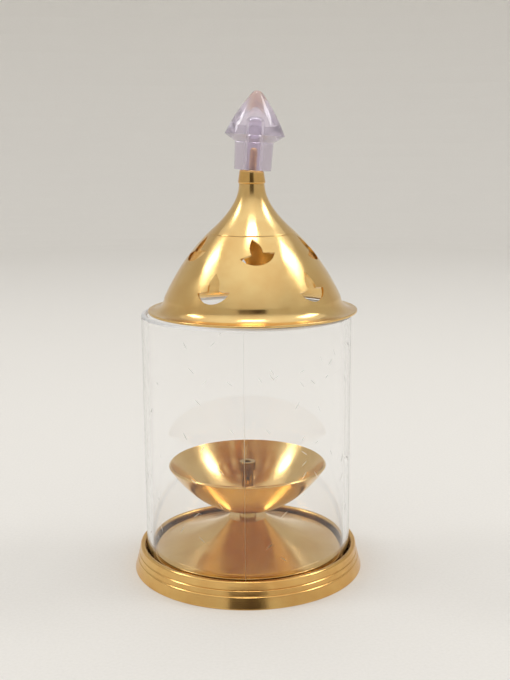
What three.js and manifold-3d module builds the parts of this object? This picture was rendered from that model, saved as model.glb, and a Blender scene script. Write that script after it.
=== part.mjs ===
// Brass oil lamp: a turned base ring, a trumpet stand with an oil bowl and wick holder,
// a glass chimney and a pierced dome lid with a clear knob.
// Millimetres, +Z up. The origin is the centre of the foot, on the table, and -Y is the front.

import * as THREE from 'three';
import { mergeVertices } from 'three/addons/utils/BufferGeometryUtils.js';
import Module from 'manifold-3d';

const wasm = await Module();
wasm.setup();

// Driving dimensions, in millimetres unless a name says otherwise

// Glass chimney, cut from stock tube
const glassOuterRadius = 40;
const glassWall = 2.2;
const glassHeight = 96.3;
const glassRimRound = 0.9;

// Base ring
const channelOuterGap = 0.5;
const channelInnerGap = 0.9;
const channelFloorHeight = 5;
const lipWall = 2;
const lipHeight = 9.7;
const lipRound = 0.5;
const footSpread = 2.3;
const footEdgeHeight = 0.7;
const footWidth = 3.2;
const webThickness = 2;
const ledgeWidth = 3.4;
const ledgeRise = 2.5;
const upperGrooveDrop = 3.1;
const grooveSpacing = 2.2;
const grooveWidth = 0.5;
const grooveDepth = 0.35;

// Trumpet stand, spun from sheet
const standEdgeInset = 0.7;
const standRimWidth = 2.3;
const standRise = 11.9;
const standTopRadius = 7.6;
const standWall = 1;

// Spacer, oil bowl and wick holder
const spacerWall = 1.55;
const spacerHeight = 2;
const bowlRimGap = 7;
const bowlFloorRadius = 6.5;
const bowlDepth = 19.8;
const bowlWall = 0.9;
const wickWall = 0.45;
const wickBoreWall = 0.9;
const wickHeight = 20.4;
const wickFootFlange = 0.95;
const wickFootHeight = 1.2;
const wickHeadFlange = 0.55;
const wickHeadHeight = 3.4;
const oilHoleRadius = 0.6;
const oilHoleDrop = 7.2;

// Centre screw with its two washers, under the stand
const screwRadius = 1.5;
const screwClearance = 0.35;
const threadGap = 0.3;
const screwReach = 5;
const screwHeadFlange = 1.7;
const screwHeadHeight = 2.2;
const slotWidth = 0.8;
const slotDepth = 0.9;
const washerFlange = 2.6;
const washerThickness = 0.8;
const springWasherFlange = 1.2;
const springWasherThickness = 0.9;
const springWasherSplitAngle = THREE.MathUtils.degToRad(16);

// Dome lid, spun from sheet. It lies a little off centre on the glass.
const lidShift = 2.4;
const lidSeatGap = 0.3;
const flangeInset = 0.2;
const flangeFlat = 1.8;
const flangeRound = 0.2;
const bellWidth = 6.3;
const creaseRise = 5.5;
const domeTurnRadius = 14.4;
const domeTurnRise = 31.7;
const neckWaistRadius = 4.9;
const neckWaistDrop = 1.3;
const neckTopRadius = 4.75;
const lidHeight = 47.9;
const lidWall = 0.9;

// Vents in the dome, each the outline of a small lamp with its flame
const ventHalfWidth = 6;
const ventBowlDepth = 4.5;
const ventNotchHalfWidth = 2.05;
const ventNotchHeight = 0.45;
const ventFlameHeight = 6.85;
const ventFlameHalfWidth = 2.7;
const ventsInRow = 5;
const ventCutDepth = 8;
const ventRows = [
  { placeOnDome: 0.18, turnDegrees: -27, tiltDegrees: 5 },
  { placeOnDome: 0.65, turnDegrees: 5, tiltDegrees: 12 },
];

// Ferrule, knob and knob screw. The knob leans a little to +X on its screw.
const ferruleHeight = 4.4;
const ferruleBottomFlange = 0.4;
const ferruleTopInset = 0.2;
const ferruleRound = 0.35;
const knobLean = THREE.MathUtils.degToRad(4);
const knobSeatGap = 0.3;
const knobShankBottomRadius = 6.8;
const knobShankTopRadius = 7.15;
const knobShankHeight = 10.6;
const knobBrimRadius = 10.85;
const knobBrimRise = 13.5;
const knobTipRadius = 2;
const knobTipDrop = 0.9;
const knobHeight = 28.9;
const knobBoreDepth = 16.5;
const knobScrewRadius = 1.5;
const knobScrewReach = 8.2;
const knobScrewHeadFlange = 1.1;
const knobScrewHeadHeight = 1.8;
const knobWasherFlange = 1.4;
const knobWasherThickness = 0.6;

// Facets round a full turn
const largeTurn = 48;
const mediumTurn = 40;
const smallTurn = 20;

// Sizes and heights that follow from the values above
const glassInnerRadius = glassOuterRadius - glassWall;
const glassTop = channelFloorHeight + glassHeight;
const channelOuterRadius = glassOuterRadius + channelOuterGap;
const channelInnerRadius = glassInnerRadius - channelInnerGap;
const lipRadius = channelOuterRadius + lipWall;
const footRadius = lipRadius + footSpread;
const standSeat = channelFloorHeight + ledgeRise;
const standRadius = channelInnerRadius - standEdgeInset;
const standTop = standSeat + standRise;
const screwHoleRadius = screwRadius + screwClearance;
const threadHoleRadius = screwRadius + threadGap;
const bowlBottom = standTop + spacerHeight;
const bowlFloor = bowlBottom + bowlWall;
const bowlRimRadius = glassInnerRadius - bowlRimGap;
const wickTop = bowlFloor + wickHeight;
const wickTubeRadius = threadHoleRadius + wickWall;
const washerTop = standTop - standWall;
const springWasherTop = washerTop - washerThickness;
const screwHeadTop = springWasherTop - springWasherThickness;
const screwTip = bowlFloor + screwReach;
const lidSeat = glassTop + lidSeatGap;
const flangeRadius = glassOuterRadius - flangeInset;
const creaseRadius = flangeRadius - bellWidth;
const neckTop = lidSeat + lidHeight;
const ferruleTopRadius = neckTopRadius - ferruleTopInset;
const knobScrewHoleRadius = knobScrewRadius + threadGap + ferruleHeight * Math.tan(knobLean);

/** A point of a turned outline: distance from the axis, and height. */
function at(radius, height) {
  return new THREE.Vector2(radius, height);
}

/** Points of a smooth bend whose handle lies the given shares across and up from start to end. */
function bend(start, end, across, up, steps) {
  const handle = at(
    THREE.MathUtils.lerp(start.x, end.x, across),
    THREE.MathUtils.lerp(start.y, end.y, up),
  );
  return new THREE.QuadraticBezierCurve(start, handle, end).getPoints(steps);
}

/** The same line moved sideways to its left by a distance, for the other face of a sheet. */
function besideLine(points, distance) {
  return points.map((here, index) => {
    const before = points[Math.max(index - 1, 0)];
    const after = points[Math.min(index + 1, points.length - 1)];
    const along = after.clone().sub(before).normalize();
    return at(here.x - along.y * distance, here.y + along.x * distance);
  });
}

/** Turns an outline, drawn anticlockwise, round the Z axis. It closes on itself or ends on the axis. */
function turned(outline, facets) {
  const open = outline[0].x > 0;
  const points = open ? [...outline, outline[0].clone()] : outline;
  return new THREE.LatheGeometry(points, facets).rotateX(Math.PI / 2);
}

/** A flat ring between two heights. */
function ring(innerRadius, outerRadius, low, high, facets) {
  const outline = [
    at(innerRadius, low),
    at(outerRadius, low),
    at(outerRadius, high),
    at(innerRadius, high),
  ];
  return turned(outline, facets);
}

/** The closed solid of a geometry, with shared corners merged and flat slivers dropped. */
function toSolid(geometry) {
  const plain = geometry.clone();
  plain.deleteAttribute('normal');
  plain.deleteAttribute('uv');
  const merged = mergeVertices(plain);
  const corners = merged.index.array;
  const triangles = [];
  for (let i = 0; i < corners.length; i += 3) {
    const [a, b, c] = corners.slice(i, i + 3);
    if (a !== b && b !== c && c !== a) {
      triangles.push(a, b, c);
    }
  }
  const vertProperties = new Float32Array(merged.attributes.position.array);
  const triVerts = new Uint32Array(triangles);
  return new wasm.Manifold(new wasm.Mesh({ numProp: 3, vertProperties, triVerts }));
}

/** A geometry with the cutters taken out of it. */
function withCuts(geometry, cutters) {
  const solid = cutters.reduce((left, cutter) => left.subtract(toSolid(cutter)), toSolid(geometry));
  const mesh = solid.getMesh();
  const result = new THREE.BufferGeometry();
  result.setAttribute('position', new THREE.BufferAttribute(mesh.vertProperties, 3));
  result.setIndex(new THREE.BufferAttribute(mesh.triVerts, 1));
  result.computeVertexNormals();
  return result;
}

/** Outer wall of the base ring, flaring towards the foot, with two turned grooves. */
function baseWall() {
  const flare = 1.3;
  const upperGroove = lipHeight - upperGrooveDrop;
  const lowerGroove = upperGroove - grooveSpacing;
  const wallAt = (height, cut) => {
    const share = 1 - height / lipHeight;
    return at(lipRadius + footSpread * share ** flare - cut, height);
  };
  const points = [at(footRadius, footEdgeHeight)];
  for (const height of [lowerGroove, upperGroove]) {
    points.push(wallAt(height - grooveWidth / 2, 0));
    points.push(wallAt(height, grooveDepth));
    points.push(wallAt(height + grooveWidth / 2, 0));
  }
  return points;
}

/** Base ring: foot, flared wall, channel for the glass, and a ledge for the stand. */
function baseRing() {
  const footInnerRadius = footRadius - footWidth;
  const ledgeInnerRadius = channelInnerRadius - ledgeWidth;
  const webBottom = channelFloorHeight - webThickness;
  const outline = [
    at(footInnerRadius, 0),
    at(footRadius, 0),
    ...baseWall(),
    at(lipRadius, lipHeight - lipRound),
    at(lipRadius - lipRound, lipHeight),
    at(channelOuterRadius + lipRound, lipHeight),
    at(channelOuterRadius, lipHeight - lipRound),
    at(channelOuterRadius, channelFloorHeight),
    at(channelInnerRadius, channelFloorHeight),
    at(channelInnerRadius, standSeat),
    at(ledgeInnerRadius, standSeat),
    at(ledgeInnerRadius, webBottom),
    at(footInnerRadius, webBottom),
  ];
  return turned(outline, largeTurn);
}

/** Trumpet stand: a flat rim on the ledge, a sweep up to a small flat top, and a screw hole. */
function trumpetStand() {
  const rimInnerRadius = standRadius - standRimWidth;
  const edge = at(standRadius, standSeat + standWall);
  const sweep = bend(edge, at(standTopRadius, standTop), 0.67, 0.43, 8);
  const underside = besideLine(sweep, standWall)
    .slice(0, -1)
    .filter((point) => point.x < rimInnerRadius - standWall / 2);
  const outline = [
    at(rimInnerRadius, standSeat),
    at(standRadius, standSeat),
    ...sweep,
    at(screwHoleRadius, standTop),
    at(screwHoleRadius, standTop - standWall),
    at(standTopRadius - standWall / 2, standTop - standWall),
    ...underside.reverse(),
  ];
  return turned(outline, mediumTurn);
}

/** Oil bowl: a flat floor, a side that steepens to the rim, and a rounded lip. */
function oilBowl() {
  const floorEdge = at(bowlFloorRadius, bowlBottom);
  const rim = at(bowlRimRadius, bowlBottom + bowlDepth);
  const outside = bend(floorEdge, rim, 0.58, 0.08, 8);
  const inside = besideLine(outside, bowlWall).slice(1);
  const innerRim = inside[inside.length - 1];
  const lip = rim.clone().lerp(innerRim, 0.5);
  lip.y += bowlWall / 3;
  const outline = [
    at(screwHoleRadius, bowlBottom),
    ...outside,
    lip,
    ...inside.reverse(),
    at(bowlFloorRadius, bowlFloor),
    at(screwHoleRadius, bowlFloor),
  ];
  return turned(outline, mediumTurn);
}

/** Wick holder: a turned tube with a foot and a thicker head, cross drilled for the oil. */
function wickHolder() {
  const footRadiusHere = wickTubeRadius + wickFootFlange;
  const boreRadius = wickTubeRadius - wickBoreWall;
  const headRadius = wickTubeRadius + wickHeadFlange;
  const headBottom = wickTop - wickHeadHeight;
  const threadTop = screwTip + threadGap;
  const outline = [
    at(threadHoleRadius, bowlFloor),
    at(footRadiusHere, bowlFloor),
    at(footRadiusHere, bowlFloor + wickFootHeight),
    at(wickTubeRadius, bowlFloor + wickFootHeight + wickFootFlange / 2),
    at(wickTubeRadius, headBottom - wickHeadFlange / 2),
    at(headRadius, headBottom),
    at(headRadius, wickTop - wickHeadFlange / 2),
    at(headRadius - wickHeadFlange / 2, wickTop),
    at(boreRadius, wickTop),
    at(boreRadius, threadTop + threadGap),
    at(threadHoleRadius, threadTop),
  ];
  const drill = new THREE.CylinderGeometry(oilHoleRadius, oilHoleRadius, 4 * wickTubeRadius, 10);
  drill.translate(0, 0, wickTop - oilHoleDrop);
  return withCuts(turned(outline, smallTurn), [drill]);
}

/** A slotted pan head screw with its head at the bottom and its tip up, centred on Z. */
function slottedScrew(radius, headFlange, headHeight, headTop, tip) {
  const headRadius = radius + headFlange;
  const headBottom = headTop - headHeight;
  const outline = [
    at(0, headBottom),
    at(headRadius * 0.75, headBottom),
    at(headRadius, headBottom + headHeight / 3),
    at(headRadius, headTop),
    at(radius, headTop),
    at(radius, tip - radius / 3),
    at(radius * 0.67, tip),
    at(0, tip),
  ];
  const slot = new THREE.BoxGeometry(slotWidth, 3 * headRadius, 2 * slotDepth);
  slot.translate(0, 0, headBottom);
  return withCuts(turned(outline, smallTurn), [slot]);
}

/** A spring washer: a flat ring with a split through one side. */
function springWasher() {
  const half = springWasherSplitAngle / 2;
  const end = 2 * Math.PI - half;
  const shape = new THREE.Shape();
  shape.absarc(0, 0, screwHoleRadius + springWasherFlange, half, end, false);
  shape.absarc(0, 0, screwHoleRadius, end, half, true);
  shape.closePath();
  const options = { depth: springWasherThickness, bevelEnabled: false, curveSegments: 9 };
  return new THREE.ExtrudeGeometry(shape, options).translate(0, 0, screwHeadTop);
}

/** Glass chimney: a plain tube, cut flat below, with a fire-polished round rim above. */
function glassChimney() {
  const roundStart = glassTop - glassRimRound;
  const halfRound = glassRimRound * Math.SQRT1_2;
  const outline = [
    at(glassInnerRadius, channelFloorHeight),
    at(glassOuterRadius, channelFloorHeight),
    at(glassOuterRadius, roundStart),
    at(glassOuterRadius - glassRimRound + halfRound, roundStart + halfRound),
    at(glassOuterRadius - glassRimRound, glassTop),
    at(glassInnerRadius + glassRimRound, glassTop),
    at(glassInnerRadius + glassRimRound - halfRound, roundStart + halfRound),
    at(glassInnerRadius, roundStart),
  ];
  return turned(outline, largeTurn);
}

/** The dome's swelling lower curve, from the crease up to where it turns towards the neck. */
function domeCurve() {
  const crease = at(creaseRadius, lidSeat + creaseRise);
  const turn = at(domeTurnRadius, lidSeat + domeTurnRise);
  const handle = at(
    THREE.MathUtils.lerp(crease.x, turn.x, 0.38),
    THREE.MathUtils.lerp(crease.y, turn.y, 0.6),
  );
  return new THREE.QuadraticBezierCurve(crease, handle, turn);
}

/** Outline of one vent: a small round bowl with a pointed flame standing in it. */
function ventShape() {
  const radius = (ventHalfWidth ** 2 + ventBowlDepth ** 2) / (2 * ventBowlDepth);
  const centre = radius - ventBowlDepth;
  const tipAngle = Math.atan2(centre, ventHalfWidth);
  const armHalfWidth = (ventHalfWidth + ventNotchHalfWidth) / 2;
  const shape = new THREE.Shape();
  shape.moveTo(-ventHalfWidth, 0);
  shape.absarc(0, centre, radius, Math.PI + tipAngle, 2 * Math.PI - tipAngle, false);
  shape.quadraticCurveTo(armHalfWidth, 0, ventNotchHalfWidth, ventNotchHeight);
  shape.quadraticCurveTo(ventFlameHalfWidth, ventFlameHeight / 2, 0, ventFlameHeight);
  shape.quadraticCurveTo(-ventFlameHalfWidth, ventFlameHeight / 2, -ventNotchHalfWidth, ventNotchHeight);
  shape.quadraticCurveTo(-armHalfWidth, 0, -ventHalfWidth, 0);
  return shape;
}

/** Punches for all vents, each square to the dome at its own place. */
function ventPunches() {
  const curve = domeCurve();
  const punches = [];
  for (const row of ventRows) {
    const place = curve.getPoint(row.placeOnDome);
    const along = curve.getTangent(row.placeOnDome);
    for (let k = 0; k < ventsInRow; k += 1) {
      const turn = THREE.MathUtils.degToRad(row.turnDegrees + (360 * k) / ventsInRow);
      const out = new THREE.Vector3(Math.sin(turn), -Math.cos(turn), 0);
      const right = new THREE.Vector3(Math.cos(turn), Math.sin(turn), 0);
      const up = out.clone().multiplyScalar(along.x).setZ(along.y);
      const normal = new THREE.Vector3().crossVectors(right, up);
      const seat = out.clone().multiplyScalar(place.x).setZ(place.y);
      const punch = new THREE.ExtrudeGeometry(ventShape(), {
        depth: ventCutDepth,
        bevelEnabled: false,
        curveSegments: 3,
      });
      punch.translate(0, 0, -ventCutDepth / 2);
      punch.rotateZ(THREE.MathUtils.degToRad(row.tiltDegrees));
      punch.applyMatrix4(new THREE.Matrix4().makeBasis(right, up, normal).setPosition(seat));
      punches.push(punch);
    }
  }
  return punches;
}

/** Dome lid: flat flange, bell mouth, swelling dome with vents, drawn-in neck with a screw hole. */
function lidDome() {
  const flangeTop = lidSeat + lidWall;
  const bellStart = at(flangeRadius - flangeFlat, flangeTop);
  const crease = at(creaseRadius, lidSeat + creaseRise);
  const turn = at(domeTurnRadius, lidSeat + domeTurnRise);
  const waist = at(neckWaistRadius, neckTop - neckWaistDrop);
  const bell = bend(bellStart, crease, 0.85, 0.12, 3);
  const dome = domeCurve().getPoints(7);
  const neck = bend(turn, waist, 0.93, 0.54, 5);
  const outside = [...bell, ...dome.slice(1), ...neck.slice(1)];
  const inside = besideLine(outside, lidWall)
    .slice(1)
    .filter((point) => point.y < neckTop - 1.5 * lidWall);
  const outline = [
    at(bellStart.x, lidSeat),
    at(flangeRadius - flangeRound, lidSeat),
    at(flangeRadius, lidSeat + flangeRound),
    at(flangeRadius, flangeTop - flangeRound),
    at(flangeRadius - flangeRound, flangeTop),
    ...outside,
    at(neckTopRadius, neckTop),
    at(knobScrewHoleRadius, neckTop),
    at(knobScrewHoleRadius, neckTop - lidWall),
    at(neckTopRadius - lidWall, neckTop - lidWall),
    ...inside.reverse(),
  ];
  return withCuts(turned(outline, largeTurn), ventPunches());
}

/** Neck ferrule: a short tapered collar that the knob stands on. */
function neckFerrule() {
  const bottomRadius = neckTopRadius + ferruleBottomFlange;
  const top = neckTop + ferruleHeight;
  const outline = [
    at(knobScrewHoleRadius, neckTop),
    at(bottomRadius - ferruleRound, neckTop),
    at(bottomRadius, neckTop + ferruleRound),
    at(ferruleTopRadius, top - ferruleRound),
    at(ferruleTopRadius - ferruleRound, top),
    at(knobScrewHoleRadius, top),
  ];
  return turned(outline, smallTurn);
}

/** Heights in the leaning knob's own frame, whose origin is the centre of the neck's top. */
const knobBottom = ferruleHeight + knobSeatGap + ferruleTopRadius * Math.sin(knobLean);
const knobWasherRadius = knobScrewRadius + knobWasherFlange;
const knobWasherTop = -(lidWall + knobSeatGap + knobWasherRadius * Math.sin(knobLean));
const knobScrewHeadTop = knobWasherTop - knobWasherThickness;
const knobScrewTip = knobBottom + knobScrewReach;

/** Clear knob: drafted shank, bevelled brim, rounded cone, and a blind bore with a round end. */
function knob() {
  const boreRadius = knobScrewRadius + threadGap;
  const boreTop = knobBottom + knobBoreDepth;
  const boreRoundStart = at(boreRadius, boreTop - boreRadius);
  const boreEnd = bend(at(0, boreTop), boreRoundStart, 1, 0, 4);
  const brim = at(knobBrimRadius, knobBottom + knobBrimRise);
  const tipStart = at(knobTipRadius, knobBottom + knobHeight - knobTipDrop);
  const tip = at(0, knobBottom + knobHeight);
  const outline = [
    ...boreEnd,
    at(boreRadius, knobBottom),
    at(knobShankBottomRadius, knobBottom),
    at(knobShankTopRadius, knobBottom + knobShankHeight),
    ...bend(brim, tipStart, 0.33, 0.5, 5),
    ...bend(tipStart, tip, 0.4, 1, 3).slice(1),
  ];
  return turned(outline, 28);
}

const spunBrass = new THREE.MeshStandardMaterial({ color: 0xd9b26a, roughness: 0.18, metalness: 1 });
const turnedBrass = new THREE.MeshStandardMaterial({ color: 0xd2a455, roughness: 0.24, metalness: 1 });
const platedSteel = new THREE.MeshStandardMaterial({ color: 0xb9bab8, roughness: 0.35, metalness: 1 });
const clearGlass = new THREE.MeshStandardMaterial({
  color: 0xeef3f2,
  roughness: 0.03,
  metalness: 0,
  transparent: true,
  opacity: 0.25,
});
const clearPlastic = new THREE.MeshStandardMaterial({
  color: 0xd9d2dd,
  roughness: 0.12,
  metalness: 0,
  transparent: true,
  opacity: 0.5,
});

/** Adds one named piece to a group. */
function place(group, name, geometry, material) {
  const mesh = new THREE.Mesh(geometry, material);
  mesh.name = name;
  group.add(mesh);
}

const lamp = new THREE.Group();
place(lamp, 'base_ring', baseRing(), turnedBrass);
place(lamp, 'trumpet_stand', trumpetStand(), spunBrass);
const spacerRadius = screwHoleRadius + spacerWall;
place(lamp, 'bowl_spacer', ring(screwHoleRadius, spacerRadius, standTop, bowlBottom, smallTurn), turnedBrass);
place(lamp, 'oil_bowl', oilBowl(), spunBrass);
place(lamp, 'wick_holder', wickHolder(), turnedBrass);
const washerRadius = screwHoleRadius + washerFlange;
const washerRing = ring(screwHoleRadius, washerRadius, springWasherTop, washerTop, smallTurn);
place(lamp, 'flat_washer', washerRing, platedSteel);
place(lamp, 'spring_washer', springWasher(), platedSteel);
const centreScrew = slottedScrew(screwRadius, screwHeadFlange, screwHeadHeight, screwHeadTop, screwTip);
place(lamp, 'centre_screw', centreScrew, platedSteel);
place(lamp, 'glass_chimney', glassChimney(), clearGlass);

const lid = new THREE.Group();
lid.position.x = lidShift;
lamp.add(lid);
place(lid, 'lid_dome', lidDome(), spunBrass);
place(lid, 'neck_ferrule', neckFerrule(), turnedBrass);

const leaningKnob = new THREE.Group();
leaningKnob.position.z = neckTop;
leaningKnob.rotation.y = knobLean;
lid.add(leaningKnob);
place(leaningKnob, 'knob', knob(), clearPlastic);
const knobScrewHead = [knobScrewHeadFlange, knobScrewHeadHeight, knobScrewHeadTop];
place(leaningKnob, 'knob_screw', slottedScrew(knobScrewRadius, ...knobScrewHead, knobScrewTip), turnedBrass);
const knobWasherHole = knobScrewRadius + threadGap;
const knobWasherRing = ring(knobWasherHole, knobWasherRadius, knobScrewHeadTop, knobWasherTop, smallTurn);
place(leaningKnob, 'knob_washer', knobWasherRing, turnedBrass);

export default lamp;
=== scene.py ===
"""Looks for a brass oil lamp: turned and spun brass, a drawn glass chimney and a moulded clear knob."""

from __future__ import annotations

import logging
import math
from dataclasses import dataclass
from enum import Enum

import bmesh
import bpy
import numpy as np
from mathutils import Matrix, Quaternion, Vector
from mathutils.geometry import delaunay_2d_cdt

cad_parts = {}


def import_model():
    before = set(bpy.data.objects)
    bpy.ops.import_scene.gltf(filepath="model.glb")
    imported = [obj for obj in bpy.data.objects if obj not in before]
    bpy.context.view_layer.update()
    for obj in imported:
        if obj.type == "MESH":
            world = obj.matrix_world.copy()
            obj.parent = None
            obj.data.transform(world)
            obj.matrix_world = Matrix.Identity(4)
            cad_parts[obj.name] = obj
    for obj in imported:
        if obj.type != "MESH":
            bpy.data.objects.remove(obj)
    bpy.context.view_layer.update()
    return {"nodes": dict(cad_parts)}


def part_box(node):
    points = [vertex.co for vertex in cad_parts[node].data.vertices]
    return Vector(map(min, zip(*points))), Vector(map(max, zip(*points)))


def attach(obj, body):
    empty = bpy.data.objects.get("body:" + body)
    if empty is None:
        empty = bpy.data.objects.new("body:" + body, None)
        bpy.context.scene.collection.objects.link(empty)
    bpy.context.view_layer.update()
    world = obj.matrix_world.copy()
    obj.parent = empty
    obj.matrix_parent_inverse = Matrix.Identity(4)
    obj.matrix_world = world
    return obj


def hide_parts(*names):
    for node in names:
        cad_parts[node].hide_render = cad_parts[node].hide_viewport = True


LOG = logging.getLogger("oil_lamp")

MM = 0.001
COLUMNS = 180
SECTORS = 5
SOFTEN_FROM = math.radians(18)
SHARP_FROM = math.radians(32)
WELD = 1e-7
TURNING_MAP = "turning"

Socket = bpy.types.NodeSocket
Range = tuple[float, float]


class Slot(Enum):
    """The record's material slots."""

    SPUN = "spun_brass"
    TURNED = "turned_brass"
    STEEL = "plated_steel"
    GLASS = "clear_glass"
    PLASTIC = "clear_plastic"


class Body(Enum):
    """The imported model's rigid bodies."""

    BASE = "base"
    CHIMNEY = "chimney"
    LID = "lid"


def linear(hex_colour: str) -> tuple[float, float, float, float]:
    """Turns an sRGB hex colour to the linear colour that shaders use.

    Args:
        hex_colour: Six hex digits with a leading hash.

    Returns:
        Linear red, green, blue and an alpha of 1.
    """
    srgb = np.array([int(hex_colour[i : i + 2], 16) for i in (1, 3, 5)]) / 255
    flat = np.where(srgb <= 0.04045, srgb / 12.92, ((srgb + 0.055) / 1.055) ** 2.4)
    return (*flat.tolist(), 1.0)


def per(size_mm: float) -> float:
    """The texture scale whose features have a size.

    Args:
        size_mm: The size in millimetres.

    Returns:
        Features per metre.
    """
    return 1 / (size_mm * MM)


class Nodes:
    """The emptied node tree of a material or world, with short calls for the nodes that finishes share."""

    def __init__(self, owner: bpy.types.ID) -> None:
        """Empties the tree.

        Args:
            owner: The material or world.
        """
        owner.use_nodes = True
        self.owner = owner
        self.tree = owner.node_tree
        self.tree.nodes.clear()

    def add(self, kind: str, settings: dict | None = None, links: dict | None = None) -> bpy.types.Node:
        """Adds one node.

        Args:
            kind: The node's class name.
            settings: Properties by name, and socket values by socket name or index.
            links: Output sockets by the name or index of the input that each feeds.

        Returns:
            The new node.
        """
        node = self.tree.nodes.new(kind)
        for name, value in (settings or {}).items():
            if isinstance(name, int) or name in node.inputs:
                node.inputs[name].default_value = value
            else:
                setattr(node, name, value)
        for name, socket in (links or {}).items():
            self.tree.links.new(socket, node.inputs[name])
        return node

    def place(self, kind: str = "Object") -> Socket:
        """Adds texture coordinates.

        Args:
            kind: The output's name.

        Returns:
            That output.
        """
        return self.add("ShaderNodeTexCoord").outputs[kind]

    def turning(self) -> Socket:
        """Adds the turning map, whose U is the share round the piece and V the length along its outline.

        Returns:
            The map's output.
        """
        return self.add("ShaderNodeUVMap", {"uv_map": TURNING_MAP}).outputs["UV"]

    def part(self, vector: Socket, axis: str) -> Socket:
        """Takes one component of a vector.

        Args:
            vector: The vector.
            axis: X, Y or Z.

        Returns:
            The component.
        """
        return self.add("ShaderNodeSeparateXYZ", links={0: vector}).outputs[axis]

    def noise(self, vector: Socket, settings: dict, entry: str = "Vector") -> Socket:
        """Adds soft noise.

        Args:
            vector: Where it is read.
            settings: Its scale and detail.
            entry: The input that the vector feeds.

        Returns:
            The noise, about 0.5.
        """
        return self.add("ShaderNodeTexNoise", settings, {entry: vector}).outputs[0]

    def cells(self, vector: Socket, settings: dict) -> Socket:
        """Adds scattered cells.

        Args:
            vector: Where they are read.
            settings: Their scale.

        Returns:
            The distance from the nearest cell's point.
        """
        return self.add("ShaderNodeTexVoronoi", settings, {"Vector": vector}).outputs["Distance"]

    def ranged(self, value: Socket, source: Range, target: Range = (0.0, 1.0)) -> Socket:
        """Maps one range to another and clamps.

        Args:
            value: The value.
            source: The range that it is taken from.
            target: The range that it is brought to.

        Returns:
            The new value.
        """
        settings = dict(zip(("From Min", "From Max", "To Min", "To Max"), (*source, *target)))
        return self.add("ShaderNodeMapRange", settings, {"Value": value}).outputs[0]

    def mixed(self, share: Socket, colour: str, other: str) -> Socket:
        """Mixes two colours.

        Args:
            share: The second colour's share.
            colour: The first colour.
            other: The second colour.

        Returns:
            The mixed colour.
        """
        settings = {"data_type": "RGBA", 6: linear(colour), 7: linear(other)}
        return self.add("ShaderNodeMix", settings, {0: share}).outputs[2]

    def bump(self, height: Socket, depth_mm: float, normal: Socket | None = None) -> Socket:
        """Tilts the surface by a height.

        Args:
            height: The height, from 0 to 1.
            depth_mm: What a height of 1 stands for.
            normal: The normal that it adds to.

        Returns:
            The new normal.
        """
        links = {"Height": height} | ({"Normal": normal} if normal else {})
        return self.add("ShaderNodeBump", {"Strength": 1.0, "Distance": depth_mm * MM}, links).outputs[0]

    def computed(self, operation: str, *values: Socket | float) -> Socket:
        """Adds one sum.

        Args:
            operation: The operation's name.
            values: Its inputs in order.

        Returns:
            The result.
        """
        settings, links = {"operation": operation}, {}
        for index, value in enumerate(values):
            (settings if isinstance(value, float) else links)[index] = value
        return self.add("ShaderNodeMath", settings, links).outputs[0]

    def principled(self, settings: dict, links: dict) -> bpy.types.Material:
        """Adds the surface shader and the output.

        Args:
            settings: The shader's plain values.
            links: What feeds its other inputs.

        Returns:
            The finished material.
        """
        shader = self.add("ShaderNodeBsdfPrincipled", settings, links)
        self.add("ShaderNodeOutputMaterial", links={"Surface": shader.outputs[0]})
        return self.owner


@dataclass(frozen=True)
class Brass:
    """Polished brass that was worked on a lathe, so fine lines run round it and stretch its highlights."""

    name: str
    colour: str
    warm_colour: str
    line_spacing_mm: float
    line_depth_mm: float
    wave_size_mm: float
    wave_depth_mm: float
    smooth: float
    smudged: float
    anisotropy: float
    blotch_size_mm: float = 14.0
    blotch_range: Range = (0.38, 0.72)
    blotch_share: float = 0.55
    smudge_size_mm: float = 9.0
    smudge_range: Range = (0.36, 0.7)

    def build(self) -> bpy.types.Material:
        """Builds the material: warm blotches, smudges, turning lines and the slow waves of worked sheet.

        Returns:
            The finished material.
        """
        nodes = Nodes(bpy.data.materials.new(self.name))
        place = nodes.place()
        blotches = nodes.noise(place, {"Scale": per(self.blotch_size_mm), "Detail": 3.0, "Roughness": 0.55})
        warm = nodes.ranged(blotches, self.blotch_range, (0.0, self.blotch_share))
        smudges = nodes.noise(place, {"Scale": per(self.smudge_size_mm), "Detail": 5.0, "Distortion": 0.6})
        waves = nodes.noise(place, {"Scale": per(self.wave_size_mm), "Detail": 1.0})
        along = nodes.part(nodes.turning(), "Y")
        line_settings = {"noise_dimensions": "1D", "Scale": per(self.line_spacing_mm), "Detail": 3.0}
        lines = nodes.noise(along, line_settings, "W")
        tangent = nodes.add("ShaderNodeTangent", {"direction_type": "UV_MAP", "uv_map": TURNING_MAP})
        return nodes.principled(
            {"Metallic": 1.0, "Anisotropic": self.anisotropy, "Anisotropic Rotation": 0.25},
            {
                "Base Color": nodes.mixed(warm, self.colour, self.warm_colour),
                "Roughness": nodes.ranged(smudges, self.smudge_range, (self.smooth, self.smudged)),
                "Normal": nodes.bump(lines, self.line_depth_mm, nodes.bump(waves, self.wave_depth_mm)),
                "Tangent": tangent.outputs[0],
            },
        )


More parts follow.
